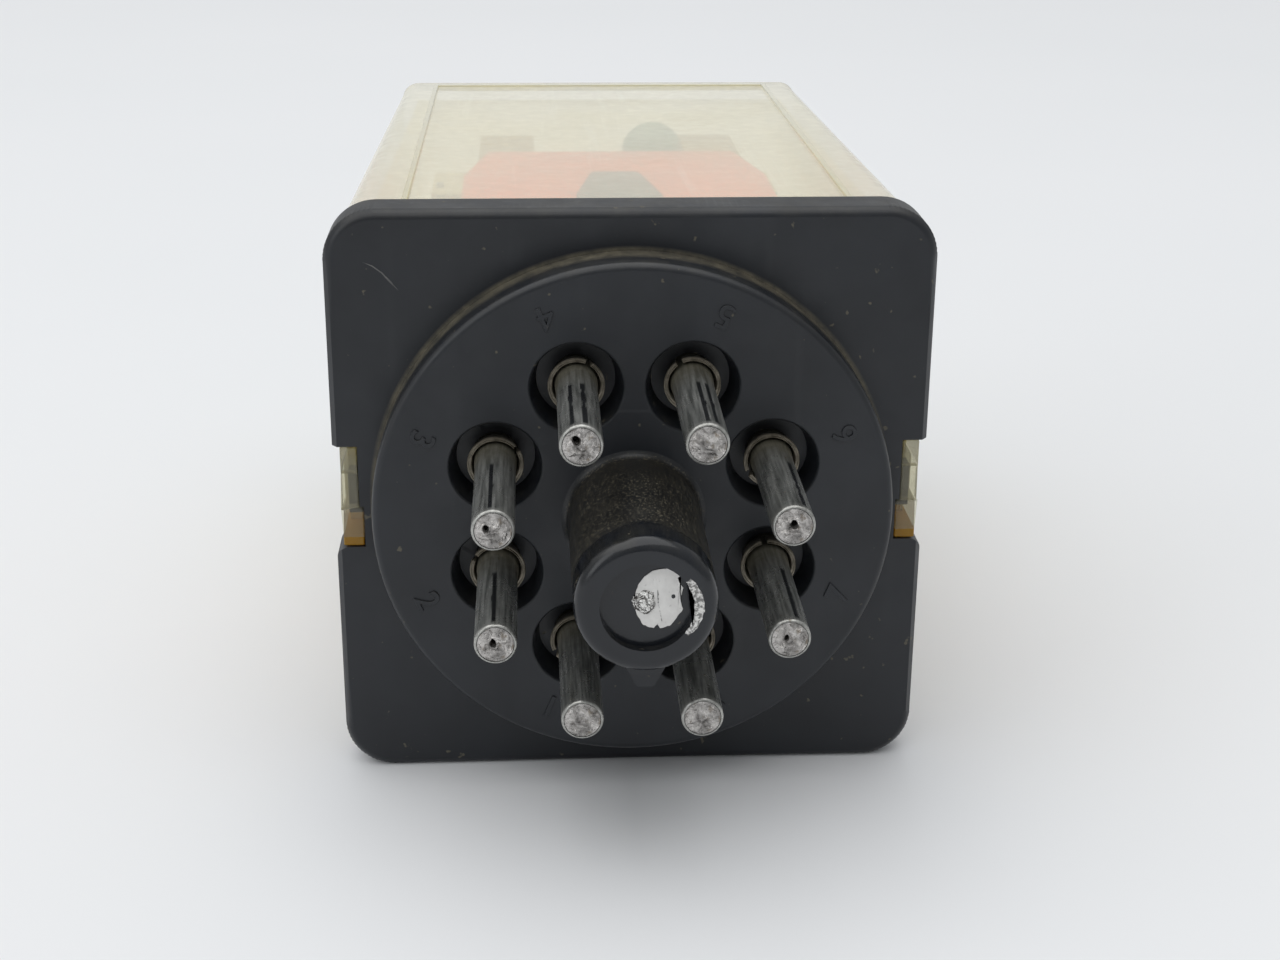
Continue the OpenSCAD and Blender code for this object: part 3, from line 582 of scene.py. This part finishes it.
def make_base():
    """The CAD base with rounder edges; the recesses round the pins narrow inwards and have a round brim."""
    obj = soften("base", BLACK, 0.15, 3, 50)
    places = [pin_place(n) for n in PINS]
    narrowing, plate_round, brim_round = 0.86, 0.24 * MM, 0.14 * MM
    # Radius and front of the disc and the post, with the edge's rounding in the CAD and here
    rounded = ((DISC_R, 0, 0.7 * MM, 0.45 * MM), (POST_R, POST_END, 0.4 * MM, 0.75 * MM))
    bm = bmesh.new()
    bm.from_mesh(obj.data)

    def nearest(v):
        return min(places, key=lambda p: math.hypot(v.co.x - p.x, v.co.z - p.z))

    def on_well(v, y):
        p = nearest(v)
        away = math.hypot(v.co.x - p.x, v.co.z - p.z)
        return abs(v.co.y - y) < 0.01 * MM and abs(away - WELL_R) < 0.04 * MM

    for v in [v for v in bm.verts if on_well(v, WELL_DEPTH)]:
        p = nearest(v)
        v.co.x = p.x + (v.co.x - p.x) * narrowing
        v.co.z = p.z + (v.co.z - p.z) * narrowing
    for radius, front, was, now in rounded:
        for v in bm.verts:
            across = (math.hypot(v.co.x, v.co.z) - (radius - was)) / was
            along = (front + was - v.co.y) / was
            if across > -0.001 and along > -0.001 and abs(math.hypot(across, along) - 1) < 0.02:
                shrink = (radius - now + now * across) / math.hypot(v.co.x, v.co.z)
                v.co.x *= shrink
                v.co.z *= shrink
                v.co.y = front + now - now * along

    def on_plate_edge(v, y):
        beside_notch = abs(v.co.z) < 5 * MM
        return abs(v.co.y - y) < 0.01 * MM and max(abs(v.co.x), abs(v.co.z)) > 16.6 * MM and not beside_notch

    for y in (PLATE_FRONT, PLATE_FRONT + 0.4 * MM):
        edges = [e for e in bm.edges if on_plate_edge(e.verts[0], y) and on_plate_edge(e.verts[1], y)]
        edges = [e for e in edges if len(e.link_faces) == 2 and e.calc_face_angle() > 0.3]
        bmesh.ops.bevel(bm, geom=edges, offset=plate_round, segments=4, affect="EDGES", profile=0.5)
    brims = [e for e in bm.edges if on_well(e.verts[0], 0) and on_well(e.verts[1], 0)]
    bmesh.ops.bevel(bm, geom=brims, offset=brim_round, segments=3, affect="EDGES", profile=0.5)
    for face in bm.faces:
        face.smooth = True
    bm.to_mesh(obj.data)
    bm.free()
    obj.data.set_sharp_from_angle(angle=math.radians(35))
    obj.modifiers["edge"].harden_normals = False
    even = obj.modifiers.new("normals", "WEIGHTED_NORMAL")
    even.keep_sharp = True
    # Fillet where the post leaves the disc
    bm = bmesh.new()
    profile = ((4.3, 0.01), (4.08, -0.05), (3.94, -0.2), (3.87, -0.42))
    lathe(bm, [(r * MM, y * MM) for r, y in profile], 96)
    finish_piece(new_object("post_fillet", bm, BLACK), "relay")


def make_numbers():
    """Raised pin numbers round the edge of the seating face, tops towards the middle."""
    height = 2.05 * MM
    radius = 13.3 * MM
    for n in range(1, 9):
        curve = bpy.data.curves.new(f"digit_{n}", "FONT")
        curve.body = str(n)
        curve.size = height
        curve.extrude = 0.07 * MM
        curve.bevel_depth = 0.025 * MM
        curve.bevel_resolution = 1
        curve.align_x, curve.align_y = "CENTER", "CENTER"
        text = bpy.data.objects.new(f"digit_{n}", curve)
        bpy.context.scene.collection.objects.link(text)
        bpy.context.view_layer.update()
        mesh = bpy.data.meshes.new_from_object(text.evaluated_get(bpy.context.evaluated_depsgraph_get()))
        bpy.data.objects.remove(text)
        a = pin_angle(n)
        up = Vector((-math.cos(a), 0, -math.sin(a)))
        out = Vector((0, -1, 0))
        turn = Matrix((up.cross(out), up, out)).transposed().to_4x4()
        mesh.transform(Matrix.Translation((radius * math.cos(a), -0.02 * MM, radius * math.sin(a))) @ turn)
        mesh.materials.clear()
        mesh.materials.append(BLACK)
        obj = bpy.data.objects.new(f"pin_number_{n}", mesh)
        bpy.context.scene.collection.objects.link(obj)
        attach(obj, "relay")


# ---- Pins ----

# For each pin: the angle of the slit in its rim, the place and radius of the hole in its solder (in mm,
# or None where it is filled), and the angles of the painted dark reflections along its upper side
PINS = {
    1: (210, None, ()),
    2: (150, (-0.12, 0.1, 0.22), (95,)),
    3: (35, (-0.38, 0.12, 0.2), (97,)),
    4: (62, (-0.24, 0.3, 0.27), (113, 78)),
    5: (120, None, (88, 64)),
    6: (210, (0.0, 0.1, 0.25), (60,)),
    7: (100, (-0.2, 0.14, 0.17), (70,)),
    8: (300, None, ()),
}


def make_pin(n):
    slit_angle, hole, dark_reflection_angles = PINS[n]
    place = pin_place(n)
    rng = random.Random(100 + n)
    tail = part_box(f"pin_{n}")[1].y
    edge = 0.17 * MM
    face_r = PIN_R - edge
    bm = bmesh.new()
    painted_dark_layer = bm.verts.layers.float.new("streak")
    body = [(0.8 * MM, tail), (COLLAR_R, tail), (COLLAR_R, WELL_DEPTH), (1.26 * MM, 0.9 * MM),
            (1.22 * MM, 0.1 * MM), (PIN_R, 0)]
    body += [(PIN_R, (PIN_END + edge) * k / 24) for k in range(1, 24)]
    body += [(r, 2 * (PIN_END + edge) - y) for r, y in arc(face_r, PIN_END + edge, edge, 0, 80, 6)]
    lathe(bm, body, 120)
    # Painted reflections: near-black streaks along the upper side, at the angles listed in PINS
    for v in bm.verts:
        if -9.35 * MM < v.co.y < -2.6 * MM:
            a = math.degrees(math.atan2(v.co.z, v.co.x))
            ragged = noise.noise(Vector((n, v.co.y * 900, 0)))
            near = min([abs(a - s) for s in dark_reflection_angles] + [99])
            v[painted_dark_layer] = 1.0 if near < 6.5 + 2.5 * ragged else 0.0
    # The solder in the tip: a lumpy, creased dome with an uneven groove round it
    shape = Vector((rng.uniform(0, 50), 0, rng.uniform(0, 50)))
    disc = [(face_r, PIN_END + 0.03 * MM)]
    disc += [(face_r * (0.99 - 0.99 * k / 26), PIN_END + 0.01 * MM) for k in range(27)]
    rings, _ = lathe(bm, disc, 120, material=1)
    for ring in rings[1:]:
        for v in set(ring):
            r = math.hypot(v.co.x, v.co.z) / face_r
            crease = 0.34 * abs(noise.noise(v.co * 1300 + shape))
            crease += 0.12 * abs(noise.noise(v.co * 3200 + shape))
            grit = noise.noise(v.co * 8000 + shape) * 0.012
            v.co.y += (crease - 0.07 - 0.06 * (1 - r * r) + grit) * min(1, 5 * (1 - r) + 0.1) * MM
            worn = max(0.0, 0.3 + 1.5 * noise.noise(Vector((v.co.x * 1400, n, v.co.z * 1400))))
            v.co.y += 0.05 * MM * worn * math.exp(-((r - 0.93) / 0.03) ** 2)
            v.co.y = max(v.co.y, PIN_END - 0.12 * MM)
            if hole:
                wobble = 1 + 0.35 * noise.noise(Vector((v.co.x * 3500, 7 + n, v.co.z * 3500)))
                away = math.hypot((v.co.x - hole[0] * MM) * 1.25, v.co.z - hole[1] * MM)
                d = away / (hole[2] * wobble * MM)
                v.co.y += 0.5 * MM * max(0, 1 - d * d) ** 0.7 if d < 1 else 0
                # Painted shade: the mask is 1 inside the hole, which the solder material paints near-black
                v[painted_dark_layer] = max(0.0, min(1.0, 4 * (0.95 - d)))
                v.co.y -= 0.05 * MM * math.exp(-((d - 1.3) * 4) ** 2)
    obj = new_object(f"pin_{n}_look", bm, [PIN, SOLDER], smooth_angle=50)
    obj.location = place
    finish_piece(obj, "relay", f"pin_{n}")
    make_rim(n, place, slit_angle)


def make_rim(n, place, slit_angle):
    """Flared rim of sheet brass in the pin's recess, split at one place."""
    gap = math.radians(7)
    rim = [(1.3, 2.1), (1.42, 1.6), (1.54, 1.0), (1.64, 0.62), (1.66, 0.5), (1.62, 0.43), (1.57, 0.44),
           (1.54, 0.52), (1.5, 0.52), (1.47, 0.45), (1.42, 0.46), (1.38, 0.56), (1.34, 1.0), (1.3, 1.6)]
    bm = bmesh.new()
    profile = [(r * MM, y * MM) for r, y in rim]
    profile.append(profile[0])
    rings, _ = lathe(bm, profile, 90, start=math.radians(slit_angle) + gap, sweep=2 * math.pi - 2 * gap)
    bmesh.ops.remove_doubles(bm, verts=bm.verts[:], dist=1e-7)
    ends = [e for e in bm.edges if e.is_boundary]
    bmesh.ops.edgeloop_fill(bm, edges=ends)
    obj = new_object(f"pin_{n}_rim", bm, RIM, smooth_angle=50)
    obj.location = place
    finish_piece(obj, "relay")


# ---- Lacquer in the end of the post ----

def flake(name, outline, y, thickness, material):
    """Thin flake whose outline is a closed list of (x, z) points in mm, its back on the plane y."""
    bm = bmesh.new()
    front = [bm.verts.new((x * MM, y - thickness, z * MM)) for x, z in outline]
    back = [bm.verts.new((x * MM, y, z * MM)) for x, z in outline]
    bm.faces.new(front)
    bm.faces.new(back)
    bridge(bm, front, back)
    bmesh.ops.triangulate(bm, faces=bm.faces[:])
    return new_object(name, bm, material, smooth_angle=30)


def ragged(points, seed, amount=0.05, steps=5):
    """Breaks the straight runs of an outline into short uneven ones."""
    out = []
    for i, (x, z) in enumerate(points):
        nx, nz = points[(i + 1) % len(points)]
        for k in range(steps):
            t = k / steps
            px, pz = x + (nx - x) * t, z + (nz - z) * t
            push = amount * noise.noise(Vector((px * 3.1, pz * 3.1, seed)))
            fine = 0.4 * amount * noise.noise(Vector((px * 11, pz * 11, seed)))
            length = math.hypot(nx - x, nz - z) or 1
            out.append((px + (nz - z) / length * (push + fine), pz - (nx - x) / length * (push + fine)))
    return out


def make_lacquer():
    main = [(-0.45, 1.1), (-0.1, 1.6), (0.4, 1.95), (1.05, 2.05), (1.45, 2.1), (1.85, 1.65), (1.62, 1.5),
            (1.95, 0.9), (1.8, 0.3), (1.95, -0.3), (1.55, -0.9), (1.25, -1.3), (0.75, -1.4), (0.6, -1.15),
            (0.4, -1.4), (-0.15, -1.2), (-0.5, -0.6), (-0.68, 0.0), (-0.58, 0.6)]
    obj = flake("lacquer_patch", ragged(main, 3), RECESS_Y, 0.06 * MM, LACQUER)
    finish_piece(obj, "relay", "seal_dab", "solder_tips")
    angles = range(-36, 41, 6)
    outer = [(2.62 + 0.42 * max(0, math.sin(math.pi * (d + 37) / 78)) ** 0.5, d) for d in angles]
    inner = [(2.52, d) for d in reversed(angles)]
    crescent = [(r * math.cos(math.radians(d)), r * math.sin(math.radians(d))) for r, d in outer + inner]
    obj = flake("lacquer_crescent", ragged(crescent, 8, 0.09, 3), POST_END, 0.03 * MM, WORN)
    finish_piece(obj, "relay")
    # Pinhole and crack in the patch
    front = RECESS_Y - 0.058 * MM
    dot = arc(1.43, 0.44, 0.12, 0, 315, 7)
    finish_piece(flake("lacquer_pinhole", ragged(dot, 2, 0.03, 2), front, 0.005 * MM, BLACK), "relay")
    crack = [(0.58, 0.92), (0.62, 0.5), (0.6, 0.1), (0.7, -0.4), (0.82, -1.02), (0.86, -1.0), (0.74, -0.4),
             (0.64, 0.1), (0.66, 0.5), (0.6, 0.92)]
    finish_piece(flake("lacquer_crack", ragged(crack, 4, 0.02, 3), front, 0.004 * MM, WORN), "relay")
    # Crinkled lump left of the middle
    bm = bmesh.new()
    bmesh.ops.create_icosphere(bm, subdivisions=5, radius=0.62 * MM)
    for v in bm.verts:
        crinkle = 0.3 * noise.noise(v.co * 2600) + 0.22 * abs(noise.noise(v.co * 7000))
        v.co *= 0.95 + crinkle
        v.co.y *= 0.34
    bmesh.ops.translate(bm, verts=bm.verts[:], vec=(-0.05 * MM, RECESS_Y - 0.03 * MM, 0.15 * MM))
    finish_piece(new_object("lacquer_lump", bm, FOIL, smooth_angle=60), "relay")


# ---- Cover ----

COVER_DRAFT = 0.9 * MM
COVER_HALF = 17.1 * MM
COVER_LIP = PLATE_BACK + 0.05 * MM


def cover_narrowing(y):
    """How far the cover's sides have drawn in at y."""
    return COVER_DRAFT * (y - COVER_LIP) / (COVER_END - COVER_LIP)


def make_cover():
    half, corner, wall = COVER_HALF, 1.6 * MM, 1.3 * MM
    bm = bmesh.new()

    def shell(half, corner, end, rounding):
        rings = []
        for k in range(9):
            y = COVER_LIP + (end - rounding - COVER_LIP) * k / 8
            rings.append(rounded_ring(bm, half - cover_narrowing(y), corner, y))
        for k in range(1, 7):
            a = math.radians(90 * k / 6)
            y = end - rounding + rounding * math.sin(a)
            inset = rounding * (1 - math.cos(a)) + cover_narrowing(y)
            rings.append(rounded_ring(bm, half - inset, corner - inset * 0.3, y))
        for one, two in zip(rings, rings[1:]):
            bridge(bm, one, two)
        bm.faces.new(rings[-1])
        return rings[0]

    outside = shell(half, corner, COVER_END, 1.1 * MM)
    inside = shell(half - wall, corner - wall, COVER_END - wall, 0.5 * MM)
    bridge(bm, outside, inside, 1)
    obj = new_object("cover_look", bm, [CLEAR, EDGE], smooth_angle=40)
    finish_piece(obj, "relay", "cover")


def make_label_frame():
    """Raised line round the label field on the cover's upper face."""
    half, z = 13.3 * MM, COVER_HALF
    near, far = 8.5 * MM, 54 * MM
    wide, high = 0.35 * MM, 0.12 * MM
    bm = bmesh.new()
    for x in (-half, half):
        box_mesh(bm, (x - wide / 2, near, z - wide), (x + wide / 2, far, z + high))
    for y in (near, far):
        box_mesh(bm, (-half + wide / 2, y - wide / 2, z - wide), (half - wide / 2, y + wide / 2, z + high))
    for v in bm.verts:
        v.co.z -= cover_narrowing(v.co.y)
    obj = new_object("cover_label_frame", bm, FRAME)
    bevel = obj.modifiers.new("edge", "BEVEL")
    bevel.width, bevel.segments = 0.05 * MM, 2
    finish_piece(obj, "relay")


def make_tabs():
    """The cover's side tabs, with a window over the base's catch and an amber lower end."""
    tab_low, tab_high = -2.74 * MM, 3.54 * MM
    outer, inner, pocket = PLATE_HALF - 0.45 * MM, PLATE_HALF - 1.44 * MM, 0.25 * MM
    front, root = PLATE_FRONT + 0.1 * MM, PLATE_BACK + 5 * MM
    low_window, high_window = 0.4 * MM - 1.5 * MM, 0.4 * MM + 1.5 * MM
    foot, step = tab_low + 0.55 * MM, tab_low + 2.4 * MM
    mid = PLATE_FRONT + 1.5 * MM
    for side, name in ((-1, "left"), (1, "right")):
        bm = bmesh.new()

        def part(y0, y1, z0, z1, inside=inner, material=0):
            a, b = sorted((side * inside, side * outer))
            box_mesh(bm, (a, y0, z0), (b, y1, z1), material)

        part(front, root, tab_low, foot, inner - pocket, 1)
        part(front, root, foot, step, inner - pocket)
        part(front, mid - 0.75 * MM, max(step, low_window), high_window)
        part(mid + 0.75 * MM, root, max(step, low_window), high_window)
        part(front, root, high_window, tab_high)
        bmesh.ops.remove_doubles(bm, verts=bm.verts[:], dist=1e-7)
        obj = new_object(f"cover_tab_{name}", bm, [TAB, AMBER])
        bevel = obj.modifiers.new("edge", "BEVEL")
        bevel.width, bevel.segments = 0.08 * MM, 2
        finish_piece(obj, "relay")


# ---- Inside the cover ----

SOFTENED = {
    "yoke": (IRON, "iron", 0.12), "core": (IRON, "iron", 0.12), "bobbin": (RED, "red_plastic", 0.15),
    "contact_block": (RED, "red_plastic", 0.2), "armature": (IRON, "iron", 0.1),
    "contact_carrier": (BROWN, "brown_plastic", 0.2), "frame_screws": (STEEL, "steel", 0.1),
    "block_screws": (STEEL, "steel", 0.1), "no_blade_left": (BLADE, "spring_brass", 0.05),
    "no_blade_right": (BLADE, "spring_brass", 0.05), "nc_blade_left": (BLADE, "spring_brass", 0.05),
    "nc_blade_right": (BLADE, "spring_brass", 0.05), "moving_blade_left": (BLADE, "spring_brass", 0.05),
    "moving_blade_right": (BLADE, "spring_brass", 0.05), "fixed_contacts": (SILVER, "silver", 0.12),
    "moving_contacts": (SILVER, "silver", 0.12), "armature_rivets": (STEEL, "steel", 0.15),
    "blade_rivets": (STEEL, "steel", 0.1), "lamp_board": (BOARD, "board", 0.1),
    "lamp_resistor": (CERAMIC, "resistor", 0.2), "coil_tape": (TAPE, "tape", 0.08),
    "winding": (COPPER, "copper", 0.05),
}
REPAINTED = {
    "coil_leads": RED_WIRE, "contact_wires": TIN, "lamp": LENS, "lamp_leads": TIN,
}


def make_inside():
    for node, (material, slot, width) in SOFTENED.items():
        soften(node, material, width)
    for node, material in REPAINTED.items():
        obj = frame["nodes"][node]
        if not obj.data.materials:
            obj.data.materials.append(material)
        for slot in obj.material_slots:
            slot.material = material


def bending_copy(node, material):
    """A smooth copy of a springy or flexible CAD node, shown in its place and not parented to either body.
    """
    bm = bmesh.new()
    bm.from_mesh(frame["nodes"][node].data)
    bmesh.ops.remove_doubles(bm, verts=bm.verts[:], dist=1e-6)
    obj = new_object(node + "_look", bm, material, smooth_angle=80)
    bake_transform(obj)
    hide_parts(node)


# ---- Stage, lights and camera ----

def make_floor():
    n = Nodes("pale_floor")
    n.set("Base Color", n.mix(n.ramp(n.noise(6, 3), 0.3, 0.7), (0.80, 0.81, 0.82), (0.82, 0.825, 0.835)))
    n.set("Roughness", 0.7)
    n.set("Specular IOR Level", 0.2)
    bm = bmesh.new()
    reach = 2.5
    corners = ((-reach, -reach), (reach, -reach), (reach, reach), (-reach, reach))
    bm.faces.new([bm.verts.new((x, y, BASE_LOW.z)) for x, y in corners])
    floor = new_object("floor", bm, n.material)


def add_light(name, place, target, width, height, power, colour=(1, 1, 1)):
    light = bpy.data.lights.new(name, "AREA")
    light.shape = "RECTANGLE"
    light.size, light.size_y, light.energy, light.color = width, height, power, colour
    obj = bpy.data.objects.new(name, light)
    obj.location = place
    obj.rotation_mode = "QUATERNION"
    obj.rotation_quaternion = (Vector(target) - Vector(place)).to_track_quat("-Z", "Y")
    bpy.context.scene.collection.objects.link(obj)


def make_lights():
    """A white room that is brighter above and behind than in front, and one large lamp overhead."""
    world = bpy.data.worlds.new("soft_room")
    world.use_nodes = True
    tree = world.node_tree
    coords = tree.nodes.new("ShaderNodeTexCoord")
    split = tree.nodes.new("ShaderNodeSeparateXYZ")
    tree.links.new(coords.outputs["Generated"], split.inputs[0])
    lean = tree.nodes.new("ShaderNodeMath")
    lean.operation = "MULTIPLY_ADD"
    lean.inputs[1].default_value = 0.45
    tree.links.new(split.outputs["Y"], lean.inputs[0])
    tree.links.new(split.outputs["Z"], lean.inputs[2])
    level = tree.nodes.new("ShaderNodeMapRange")
    for key, number in (("From Min", -0.4), ("From Max", 1.0), ("To Min", 0.27), ("To Max", 0.62)):
        level.inputs[key].default_value = number
    tree.links.new(lean.outputs[0], level.inputs["Value"])
    tree.links.new(level.outputs[0], tree.nodes["Background"].inputs["Strength"])
    tree.nodes["Background"].inputs["Color"].default_value = (0.96, 0.98, 1.0, 1)
    bpy.context.scene.world = world
    add_light("overhead", (-0.15, -0.06, 1.1), (0, 0.02, 0), 1.7, 1.7, 10.6)
    add_light("front_left", (-0.55, -0.35, 0.3), (0, 0, 0), 0.35, 0.45, 0.7, (0.95, 0.98, 1.0))


def make_camera():
    lens, place = 55.07, (-5.855, -106.45, 42.911)
    yaw, pitch, roll = -0.058, 0.363, -0.007
    camera = bpy.data.cameras.new("camera")
    camera.lens, camera.sensor_width = lens, 36
    camera.clip_start, camera.clip_end = 0.005, 20
    obj = bpy.data.objects.new("camera", camera)
    turn = Matrix.Rotation(yaw, 3, "Z") @ Matrix.Rotation(-pitch, 3, "X") @ Matrix.Rotation(roll, 3, "Y")
    turn = turn @ Matrix.Rotation(math.pi / 2, 3, "X")
    obj.matrix_world = Matrix.Translation(Vector(place) * MM) @ turn.to_4x4()
    bpy.context.scene.collection.objects.link(obj)
    bpy.context.scene.camera = obj
    bpy.context.scene.view_settings.view_transform = "Standard"


def make_scratch():
    """The pale scratch in the plate's upper corner."""
    line = [(-15.46, 14.79), (-14.9, 14.59), (-14.33, 14.17), (-13.83, 13.6), (-13.45, 13.1), (-13.88, 13.5),
            (-14.38, 14.1), (-14.92, 14.53)]
    obj = flake("plate_scratch", ragged(line, 5, 0.03, 3), PLATE_FRONT + 0.002 * MM, 0.008 * MM, SCRATCH)
    finish_piece(obj, "relay")


make_base()
make_scratch()
make_numbers()
for pin in PINS:
    make_pin(pin)
make_lacquer()
make_cover()
make_label_frame()
make_tabs()
make_inside()
bending_copy("return_spring", SPRING)
bending_copy("braid_left", BRAID)
bending_copy("braid_right", BRAID)
make_floor()
make_lights()
make_camera()
